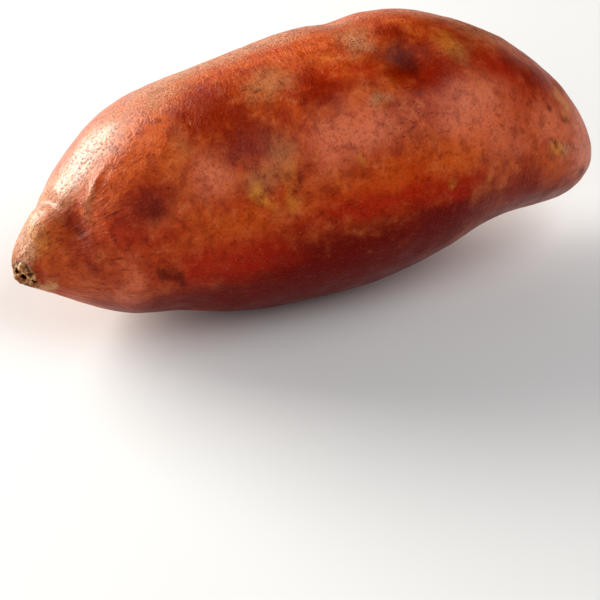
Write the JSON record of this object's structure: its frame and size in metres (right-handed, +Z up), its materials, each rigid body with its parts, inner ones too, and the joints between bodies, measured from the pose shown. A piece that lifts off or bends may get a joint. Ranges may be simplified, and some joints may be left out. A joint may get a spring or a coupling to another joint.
{
  "type": "sweet potato",
  "caption": "Whole raw sweet potato: plump humped root tapering to a corky stem scar, blunt rounded tip, small flat spot to lie on.",
  "frame": {"origin": "on the table plane, below the middle of the root's box", "axes": "+X along the root from the corky stem scar to the blunt tip, +Z up"},
  "size_m": [0.181, 0.0786, 0.0796],
  "materials": {
    "skin": "satin"
  },
  "bodies": {
    "root": {"sweet_potato": "skin"}
  },
  "joints": []
}
